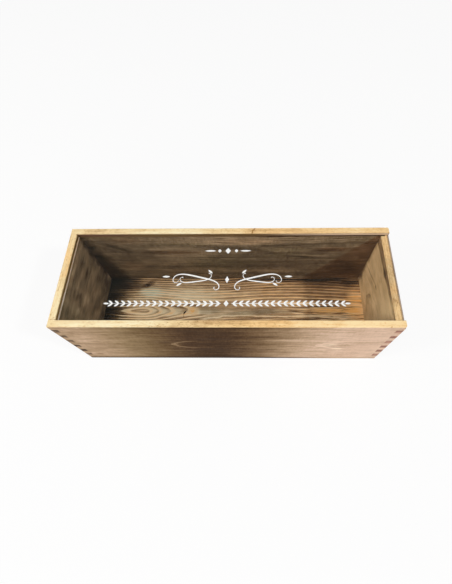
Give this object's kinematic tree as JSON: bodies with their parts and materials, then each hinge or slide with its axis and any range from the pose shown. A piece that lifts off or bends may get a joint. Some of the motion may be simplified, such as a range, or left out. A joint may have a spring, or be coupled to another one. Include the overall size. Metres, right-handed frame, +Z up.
{
  "type": "wooden wine box",
  "caption": "Long rectangular wooden box for one wine bottle, with finger-jointed corners and a clear lid that slides out in grooves over a lower end wall.",
  "frame": {"origin": "middle of the underside of the floor board", "axes": "+X along the box towards the lower end wall, where the lid comes out; +Y to the back; +Z up"},
  "size_m": [0.35, 0.116, 0.1116],
  "materials": {
    "side_wood": "brown stain, bare honey-coloured rim",
    "end_wood": "brown stain, bare honey-coloured rim",
    "floor_wood": "brushed, dark brown stain",
    "pin_steel": "plain wire",
    "clear_sheet": "clear, polished",
    "white_film": "white, matt"
  },
  "bodies": {
    "box": {"front_wall": "side_wood", "back_wall": "side_wood", "left_wall": "end_wood", "right_wall": "end_wood", "floor_board": "floor_wood", "floor_pins": "pin_steel"},
    "lid": {"sliding_lid": "clear_sheet", "lid_ornament": "white_film"}
  },
  "joints": [
    {"name": "lid_slide", "type": "slide", "parent": "box", "child": "lid", "axis": [1, 0, 0], "range_m": [0, 0.35]}
  ]
}
